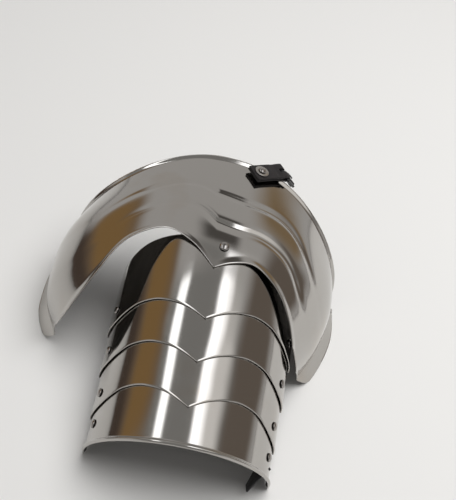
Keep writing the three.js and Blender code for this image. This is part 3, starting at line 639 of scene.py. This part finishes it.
# neck strap and its buckle in mm; the strap's own frame (along, out of the plate, across) comes from the
# buckle's two axes
strap = {"leather": 2, "gap": 0.3, "width": 19, "tail": 9, "reach": 27, "droop": 18, "buckleDroop": 20, "flat": 9,
         "neckFlare": 1.6, "slot": 4.6, "slotReach": 3.5, "slotDepth": 15.0, "edgeGap": 0.6, "columns": 27}
washerSize = {"radius": 7, "rise": 1}
buckle = {"wire": 1.3, "length": 16, "corner": 1.6, "rollerWall": 1, "eyeWall": 1.2,
          "tongueWidth": 2.8, "tongueTip": 3, "tongueEdge": 0.3}
jointPlace = {j["name"]: np.array(j["pos_m"]) / mm for j in frame["joints"]}
jointAxis = {j["name"]: np.array(j["axis"]) for j in frame["joints"]}
eyeRadius = buckle["wire"] + strap["gap"] + strap["leather"] / 2
strapSeat = 2 * strap["gap"] + strap["neckFlare"]
barHeight = strapSeat + strap["leather"] / 2 + eyeRadius
strapTop = strapSeat + 2 * strap["leather"] + strap["gap"]


def bent(along, height):
    angle = strap["droop"] * rad * np.maximum(along - strap["flat"], 0) / (strap["reach"] - strap["flat"])
    bend = (strap["reach"] - strap["flat"]) / (strap["droop"] * rad) + height
    flat = np.array([along, height])
    curved = np.array([strap["flat"] + bend * np.sin(angle), bend * np.cos(angle) - bend + height])
    return np.where(angle > 0, curved, flat)


tilt = (strap["droop"] + strap["buckleDroop"]) * rad
buckleX = jointPlace["roller_spin"] - jointPlace["buckle_pivot"]
buckleX = buckleX / np.linalg.norm(buckleX)
strapAcross = jointAxis["buckle_pivot"] / np.linalg.norm(jointAxis["buckle_pivot"])
buckleY = np.cross(strapAcross, buckleX)
strapOut = buckleY * math.cos(tilt) - buckleX * math.sin(tilt)
strapAlong = buckleX * math.cos(tilt) + buckleY * math.sin(tilt)
barAt = bent(np.array(float(strap["reach"])), np.array(barHeight))
strapFoot = jointPlace["buckle_pivot"] - strapAlong * barAt[0] - strapOut * barAt[1]


def strapToFrame(points):
    return strapFoot + points @ np.array([strapAlong, strapOut, strapAcross])


def buckleToFrame(points):
    return jointPlace["buckle_pivot"] + points @ np.array([buckleX, buckleY, strapAcross])


def roundedPath(points, spacing):
    # evenly spaced points on a rounded curve through the given ones
    points = np.array(points, float)
    ends = np.concatenate([[2 * points[0] - points[1]], points, [2 * points[-1] - points[-2]]])
    found = []
    for i in range(1, len(ends) - 2):
        p0, p1, p2, p3 = ends[i - 1:i + 3]
        for t in np.linspace(0, 1, 12, endpoint=False):
            found.append(0.5 * (2 * p1 + (p2 - p0) * t + (2 * p0 - 5 * p1 + 4 * p2 - p3) * t * t
                                + (3 * p1 - p0 - 3 * p2 + p3) * t ** 3))
    found.append(points[-1])
    found = np.array(found)
    length = np.concatenate([[0], np.cumsum(np.linalg.norm(np.diff(found, axis=0), axis=1))])
    even = np.linspace(0, length[-1], max(int(length[-1] / spacing), 2))
    return np.stack([np.interp(even, length, found[:, c]) for c in range(found.shape[1])], -1)


def makeNeckStrap():
    low = strapSeat + strap["leather"] / 2
    high = low + strap["leather"] + strap["gap"]
    reach, flat, tail = strap["reach"], strap["flat"], strap["tail"]
    # out along the plate, round the buckle's bar, and back on top
    line = [(-tail, low), (0, low), (flat, low), (flat + 5, low), (flat + 10, low)]
    for a in np.linspace(-90, 90, 9) * rad:
        line.append((reach + eyeRadius * math.cos(a), barHeight + eyeRadius * math.sin(a)))
    line += [(reach - 4.5, high + 1.5), (reach - 8.5, high + 0.1), (flat + 5, high), (flat, high), (0, high),
             (-tail, high)]
    path = roundedPath(line, 0.7)
    path = np.array([bent(np.array(x), np.array(y)) for x, y in path])
    slope = np.gradient(path, axis=0)
    slope = slope / np.linalg.norm(slope, axis=1, keepdims=True)
    side = np.stack([slope[:, 1], -slope[:, 0]], -1)
    across = np.linspace(0.5, -0.5, strap["columns"]) * (strap["width"] - strap["edgeGap"])
    outer = np.zeros((len(path), len(across), 3))
    normals = np.zeros_like(outer)
    for i, (p, n) in enumerate(zip(path, side)):
        outer[i, :, :2] = p + n * strap["leather"] / 2
        outer[i, :, 2] = across
        normals[i, :, :2] = n
    worldNormals = strapToFrame(normals) - strapFoot
    band = sheetMesh("strap_leather", strapToFrame(outer), worldNormals, strap["leather"], 0.3)
    # a block cuts the tongue's slot
    half = np.array([eyeRadius + strap["slotReach"], strap["slotDepth"], strap["slot"] / 2])
    signs = np.array([(x, y, z) for x in (-1, 1) for y in (-1, 1) for z in (-1, 1)])
    corners = strapToFrame(signs * half) - strapFoot + buckleToFrame(np.array([1.0, 0.0, 0.0]))
    sides = [(0, 1, 3, 2), (4, 6, 7, 5), (0, 4, 5, 1), (2, 3, 7, 6), (0, 2, 6, 4), (1, 5, 7, 3)]
    punch = newObject("slot", meshFrom("slot", corners, sides))
    punch.data.shade_flat()
    cut = band.modifiers.new("slot", "BOOLEAN")
    cut.operation, cut.object, cut.solver = "DIFFERENCE", punch, "EXACT"
    made = finalMesh(band)
    band.modifiers.clear()
    band.data = made
    bpy.data.objects.remove(punch)
    return finishPiece(band, "shoulder", leatherLook, ["neck_strap"])


def placedMesh(name, source, place):
    # moves the points of a lathed, swept or extruded shape to where it belongs
    points = np.array([v.co for v in source.data.vertices]) / mm
    source.data.vertices.foreach_set("co", (place(points) * mm).ravel())
    source.data.update()
    source.name = name
    bpy.context.scene.collection.objects.link(source)
    return source


def makeWasher():
    w, r = washerSize["rise"], washerSize["radius"]
    inner = rivet["shank"] + strap["gap"]  # a dished ring with a rounded edge
    profile = [(inner, w * 0.8), (inner + 0.4, w), (r - 0.5, w * 0.95), (r - 0.1, w * 0.75), (r, w * 0.45),
               (r - 0.15, 0.1), (r - 0.4, 0), (inner, 0)]
    washer = latheMesh("strap_washer", profile, 48, paintedShadeBelow=-1)
    base = strapTop + strap["gap"]
    piece = placedMesh("strap_washer", washer, lambda p: strapToFrame(
        np.stack([p[:, 0], base + p[:, 2], -p[:, 1]], -1)))
    return finishPiece(piece, "shoulder", washerSteel, ["neck_strap_washer"])


def sweptTube(name, path, radius, sides=16):
    # a closed ring of round wire that lies flat in its own x and z
    path = np.array(path, float)
    count = len(path)
    points, faces = [], []
    for i, p in enumerate(path):
        ahead = path[(i + 1) % count] - path[i - 1]
        ahead = ahead / np.linalg.norm(ahead)
        one = np.array([0, 1.0, 0])
        two = np.cross(ahead, one)
        for a in np.linspace(0, 2 * math.pi, sides, endpoint=False):
            points.append(p + radius * (math.cos(a) * one + math.sin(a) * two))
    for i in range(count):
        for j in range(sides):
            a, b = i * sides + j, i * sides + (j + 1) % sides
            c, d = ((i + 1) % count) * sides + (j + 1) % sides, ((i + 1) % count) * sides + j
            faces.append((a, b, c, d))
    return bpy.data.objects.new(name, meshFrom(name, points, faces))


def makeBuckle():
    wire, length, corner = buckle["wire"], buckle["length"], buckle["corner"]
    half = strap["width"] / 2 + 2 * strap["gap"] + wire
    path = []
    for cx, cz, start in ((length - corner, half - corner, 0), (corner, half - corner, 90),
                          (corner, -half + corner, 180), (length - corner, -half + corner, 270)):
        for a in np.linspace(start, start + 90, 9) * rad:
            path.append((cx + corner * math.cos(a), 0, cz + corner * math.sin(a)))
    wireFrame = placedMesh("buckle_wire", sweptTube("buckle_wire", path, wire), buckleToFrame)
    finishPiece(wireFrame, "buckle", buckleLook, ["buckle_frame"])
    bore = wire + strap["gap"]
    outer = bore + buckle["rollerWall"]
    end = (strap["width"] - 1) / 2
    profile = [(bore, end), (bore + 0.3, end), (outer - 0.15, end - 0.05), (outer, end - 0.3), (outer, 0),
               (outer, -end + 0.3), (outer - 0.15, -end + 0.05), (bore + 0.3, -end), (bore, -end)]
    barrel = latheMesh("buckle_barrel", profile, 36)
    placedMesh("buckle_barrel", barrel, lambda p: buckleToFrame(
        np.stack([length + p[:, 0], p[:, 1], p[:, 2]], -1)))
    finishPiece(barrel, "roller", buckleLook, ["buckle_roller"])
    # the tongue's outline: over its eye to the tip, back below, and round the eye
    eye = bore + buckle["eyeWall"]
    rise = outer + strap["gap"]
    tip = length + buckle["tongueTip"]
    upper = roundedPath([(-eye * 0.7, eye * 0.7), (0, eye), (4, eye + 0.9), (length - 2, rise + 1.7),
                         (tip - 0.9, rise + 1.25), (tip, rise + 0.5)], 0.6)
    lower = roundedPath([(tip - 0.3, rise), (length - outer, rise), (eye + 2.4, bore * 0.4)], 0.6)
    ring = [(eye * math.cos(a), eye * math.sin(a)) for a in np.linspace(-30, -225, 22) * rad]
    outline = np.array([*upper[1:], *lower, *ring])
    hole = np.array([(bore * math.cos(a), bore * math.sin(a)) for a in np.linspace(0, 360, 24, endpoint=False) * rad])
    return outline, hole


def extrudedPiece(name, outline, hole, width, place, bevel):
    # a flat outline with a round hole, given its width and softened edges
    curve = bpy.data.curves.new(name, "CURVE")
    curve.dimensions = "2D"
    curve.fill_mode = "BOTH"
    curve.extrude = (width / 2 - bevel) * mm
    curve.bevel_depth = bevel * mm
    curve.bevel_resolution = 2
    curve.offset = -bevel * mm
    for points in (outline, hole):
        line = curve.splines.new("POLY")
        line.points.add(len(points) - 1)
        for point, (x, y) in zip(line.points, points):
            point.co = (x * mm, y * mm, 0, 1)
        line.use_cyclic_u = True
    holder = newObject(name + "_outline", curve)
    mesh = finalMesh(holder)
    bpy.data.objects.remove(holder)
    mesh.name = name
    build = bmesh.new()
    build.from_mesh(mesh)
    bmesh.ops.remove_doubles(build, verts=build.verts, dist=1e-6)
    bmesh.ops.recalc_face_normals(build, faces=build.faces)
    build.to_mesh(mesh)
    build.free()
    return placedMesh(name, bpy.data.objects.new(name, mesh), place)


makeNeckStrap()
makeWasher()
tongueOutline, tongueHole = makeBuckle()
prong = extrudedPiece("buckle_prong", tongueOutline, tongueHole, buckle["tongueWidth"], buckleToFrame,
                      buckle["tongueEdge"])
prong.data.shade_smooth()
finishPiece(prong, "tongue", buckleLook, ["buckle_tongue"])

crownAxis = jointAxis["shoulder_swivel"] / np.linalg.norm(jointAxis["shoulder_swivel"])
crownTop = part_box("crown_rivet")[1][2] / mm
crownRise = (crownTop - jointPlace["shoulder_swivel"][2]) / crownAxis[2] - rivet["rise"] - rivet["seat"]
crownAt = jointPlace["shoulder_swivel"] + crownAxis * crownRise
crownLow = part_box("crown_rivet")[0][2] / mm
crownGrip = (crownTop - crownLow) / crownAxis[2] - rivet["rise"] - 2 * rivet["seat"] - rivet["tailRise"]
crownGrip -= rivet["tailEnd"]
neckRivetAt = strapFoot + strapOut * (strapTop + strap["gap"] + washerSize["rise"])
neckGrip = strapTop + 2 * strap["gap"] + washerSize["rise"] + shoulder["sheet"]
crownPlace = (crownAt, crownAxis, crownGrip, rivet["crownHead"] / rivet["head"])
neckPlace = (neckRivetAt, strapOut, neckGrip, 1.0)
makeRivets("shoulder_rivets", "shoulder", [crownPlace, neckPlace], ["crown_rivet", "neck_strap_rivet"])
print("strap and buckle made")

# arm straps: two short ends inside the lowest lame, the right one hanging to the ground
armStrap = {"width": 18, "leather": 2, "inset": 20, "edgeGap": 0.6, "columns": 17,
            "fixedEnds": (-16, 14), "freeEnds": (-12, 9),  # degrees round the arm, on both sides of the rivet
            "free": 30, "fall": (-0.42, -0.78, -0.46), "twist": (1, -0.5, -0.9)}


def makeArmStrap(name, node, side, free):
    depth = arm["sheet"] + rivet["strapGap"] + armStrap["leather"] / 2
    k = arm["count"]
    middles, leans = [], []
    first, last = armStrap["freeEnds"] if free else armStrap["fixedEnds"]
    for share in np.linspace(0, 1, 6):
        turn = np.array(side * (rivet["strapTurn"] + first + (last - first) * share))
        along = np.array(float(armStrap["inset"]))
        middles.append(lamePoint(k, turn, along) - lameNormals(k, turn, along) * depth)
        leans.append((0, 1, 0))
    if free:
        end = middles[-1]
        x, y, z = armStrap["fall"]
        flat, yTurn, zTurn = armStrap["twist"]
        for share in np.linspace(0.2, 1, 5):
            middles.append(end + armStrap["free"] * share * np.array([side * x, y, z]))
            leans.append((0, flat + yTurn * share, zTurn * share))
    both = roundedPath(np.concatenate([middles, np.array(leans, float) * 8], 1), 1.2)
    path, lean = both[:, :3], both[:, 3:]
    ahead = np.gradient(path, axis=0)
    ahead = ahead / np.linalg.norm(ahead, axis=1, keepdims=True)
    across = lean - ahead * np.sum(lean * ahead, 1, keepdims=True)
    across = across / np.linalg.norm(across, axis=1, keepdims=True)
    normal = np.cross(across, ahead)
    spread = np.linspace(-0.5, 0.5, armStrap["columns"]) * (armStrap["width"] - armStrap["edgeGap"])
    outer = path[:, None] + across[:, None] * spread[None, :, None] + normal[:, None] * armStrap["leather"] / 2
    normals = np.broadcast_to(normal[:, None], outer.shape)
    piece = sheetMesh(name, armToFrame(outer), normals @ slopeArray.T, armStrap["leather"], 0.3, ground=0.0)
    return finishPiece(piece, "lame_4", leatherLook, [node])


makeArmStrap("arm_strap_short", "arm_strap_left", -1, False)
makeArmStrap("arm_strap_hanging", "arm_strap_right", 1, True)
print("arm straps made")

# place in mm from the arm's own frame, turns in degrees, focus in pixels of a picture 500 pixels high
camera = {"place": (-2.5, -409.4, 716.5), "pitch": 46, "roll": 11.9, "yaw": 1.1, "focus": 900, "sensor": 36,
          "pictureHeight": 500}


def makeCamera():
    e, r, w = camera["pitch"] * rad, camera["roll"] * rad, camera["yaw"] * rad
    forward = Vector((math.sin(w) * math.cos(e), math.cos(w) * math.cos(e), -math.sin(e)))
    side = Vector((math.cos(w), -math.sin(w), 0))
    up = side.cross(forward)
    right = side * math.cos(r) + up * math.sin(r)
    top = -side * math.sin(r) + up * math.cos(r)
    lens = bpy.data.cameras.new("camera")
    lens.sensor_width = camera["sensor"]
    lens.lens = camera["focus"] / camera["pictureHeight"] * camera["sensor"]
    view = newObject("camera", lens)
    view.matrix_world = Matrix((right, top, -forward)).transposed().to_4x4()
    view.location = (Vector(camera["place"]) + Vector(frameShift)) * mm
    bpy.context.scene.camera = view


makeCamera()

# a pale floor, a soft lamp and a room that only the steel mirrors
room = {
    "floorColour": "#e9e8e6", "floorRoughness": 0.85, "floorHalf": 6,
    "air": "#8a8988", "airStrength": 0.9,
    "lampEnergy": 49, "lampSize": 2.3, "lampPlace": (0.72, 0.2, 2.1),
    "domeRadius": 4.0, "wall": "#c5c3c1",
    # what the steel mirrors, laid out on the sky as the ground sees it, where the horizon is a circle of
    # radius 1 round the zenith: middle x, y, half width, half depth, soft edge, colour, strength
    "mirrored": [
        ("ceiling", 0.0, -0.45, 0.5, 0.58, 0.03, "#979694", 1.0),
        ("woodWallLeft", -0.62, 0.27, 0.26, 0.24, 0.05, "#8a7660", 1.0),
        ("woodPanelLeft", -0.55, 0.27, 0.13, 0.24, 0.07, "#997a50", 1.0),
        ("doorwayLeft", -0.95, 0.3, 0.22, 0.3, 0.1, "#564a42", 1.0),
        ("shelvesRight", 0.44, 0.5, 0.19, 0.13, 0.09, "#978265", 1.0),
        ("curtainRight", 0.62, 0.17, 0.24, 0.2, 0.08, "#7a7067", 1.0),
        # a dark patch that the steel mirrors as painted shade in the creases beside the crown rivet
        ("creaseShadePatch", 0.04, 0.215, 0.1, 0.07, 0.035, "#605d5a", 1.0),
        ("tubeLeft", -0.245, -0.12, 0.042, 0.24, 0.016, "#fbfdff", 3.0),
        ("windowRight", 0.15, -0.12, 0.07, 0.235, 0.022, "#fbfcff", 3.2),
        ("windowEdge", 0.26, -0.12, 0.085, 0.235, 0.06, "#fbf9f6", 1.1),
    ],
}


def softBand(tree, value, middle, half, edge):
    # 1 within half of the middle, falling softly to 0 over the edge
    away = addNode(tree, "ShaderNodeMath", {"operation": "SUBTRACT"}, {0: value, 1: middle})
    size = addNode(tree, "ShaderNodeMath", {"operation": "ABSOLUTE"}, {0: away.outputs[0]})
    return addNode(tree, "ShaderNodeMapRange", {"interpolation_type": "SMOOTHSTEP"},
                   {"Value": size.outputs[0], "From Min": half + edge, "From Max": half - edge}).outputs["Result"]


def makeDome():
    # a dome that lights nothing and that only mirrors see
    mesh = bpy.data.meshes.new("mirrorDome")
    build = bmesh.new()
    bmesh.ops.create_uvsphere(build, u_segments=64, v_segments=32, radius=room["domeRadius"])
    build.to_mesh(mesh)
    build.free()
    dome = newObject("mirrorDome", mesh)
    material = bpy.data.materials.new("paintedRoom")
    material.use_nodes = True
    tree = material.node_tree
    tree.nodes.clear()
    place = addNode(tree, "ShaderNodeTexCoord").outputs["Object"]
    unit = addNode(tree, "ShaderNodeVectorMath", {"operation": "NORMALIZE"}, {"Vector": place})
    parts = addNode(tree, "ShaderNodeSeparateXYZ", None, {"Vector": unit.outputs["Vector"]})
    # 1.001 keeps the point straight below from a division by zero
    rise = addNode(tree, "ShaderNodeMath", {"operation": "ADD"}, {0: parts.outputs["Z"], 1: 1.001})
    flat = [addNode(tree, "ShaderNodeMath", {"operation": "DIVIDE"},
                    {0: parts.outputs[axis], 1: rise.outputs[0]}).outputs[0] for axis in ("X", "Y")]
    colour = linearColour(room["wall"])
    for name, x, y, halfX, halfY, edge, hexCode, power in room["mirrored"]:
        across = softBand(tree, flat[0], x, halfX, edge)
        along = softBand(tree, flat[1], y, halfY, edge)
        both = addNode(tree, "ShaderNodeMath", {"operation": "MULTIPLY", "label": name}, {0: across, 1: along})
        glowing = [c * power for c in linearColour(hexCode)[:3]] + [1]
        colour = mixColours(tree, both.outputs[0], colour, glowing)
    glow = addNode(tree, "ShaderNodeEmission", None, {"Color": colour, "Strength": 1.0})
    output = addNode(tree, "ShaderNodeOutputMaterial")
    tree.links.new(glow.outputs[0], output.inputs["Surface"])
    mesh.materials.append(material)
    for ray in ("camera", "diffuse", "transmission", "volume_scatter", "shadow"):
        setattr(dome, "visible_" + ray, False)


def makeRoom():
    mesh = bpy.data.meshes.new("floor")
    half = room["floorHalf"]
    mesh.from_pydata([(-half, -half, 0), (half, -half, 0), (half, half, 0), (-half, half, 0)], [], [(0, 1, 2, 3)])
    floor = newObject("floor", mesh)
    material, _, shader, _ = newMaterial("paintedBoardFloor")
    shader.inputs["Base Color"].default_value = linearColour(room["floorColour"])
    shader.inputs["Roughness"].default_value = room["floorRoughness"]
    shader.inputs["Specular IOR Level"].default_value = 0.1
    mesh.materials.append(material)
    makeDome()
    world = bpy.data.worlds.new("room")
    world.use_nodes = True
    background = world.node_tree.nodes["Background"]
    background.inputs["Color"].default_value = linearColour(room["air"])
    background.inputs["Strength"].default_value = room["airStrength"]
    bpy.context.scene.world = world
    soft = bpy.data.lights.new("softTop", "AREA")
    soft.shape, soft.size, soft.energy = "DISK", room["lampSize"], room["lampEnergy"]
    lamp = newObject("softTop", soft)
    lamp.location = room["lampPlace"]
    lamp.visible_glossy = False


makeRoom()
bpy.context.scene.view_settings.view_transform = "Standard"
print("studio made")
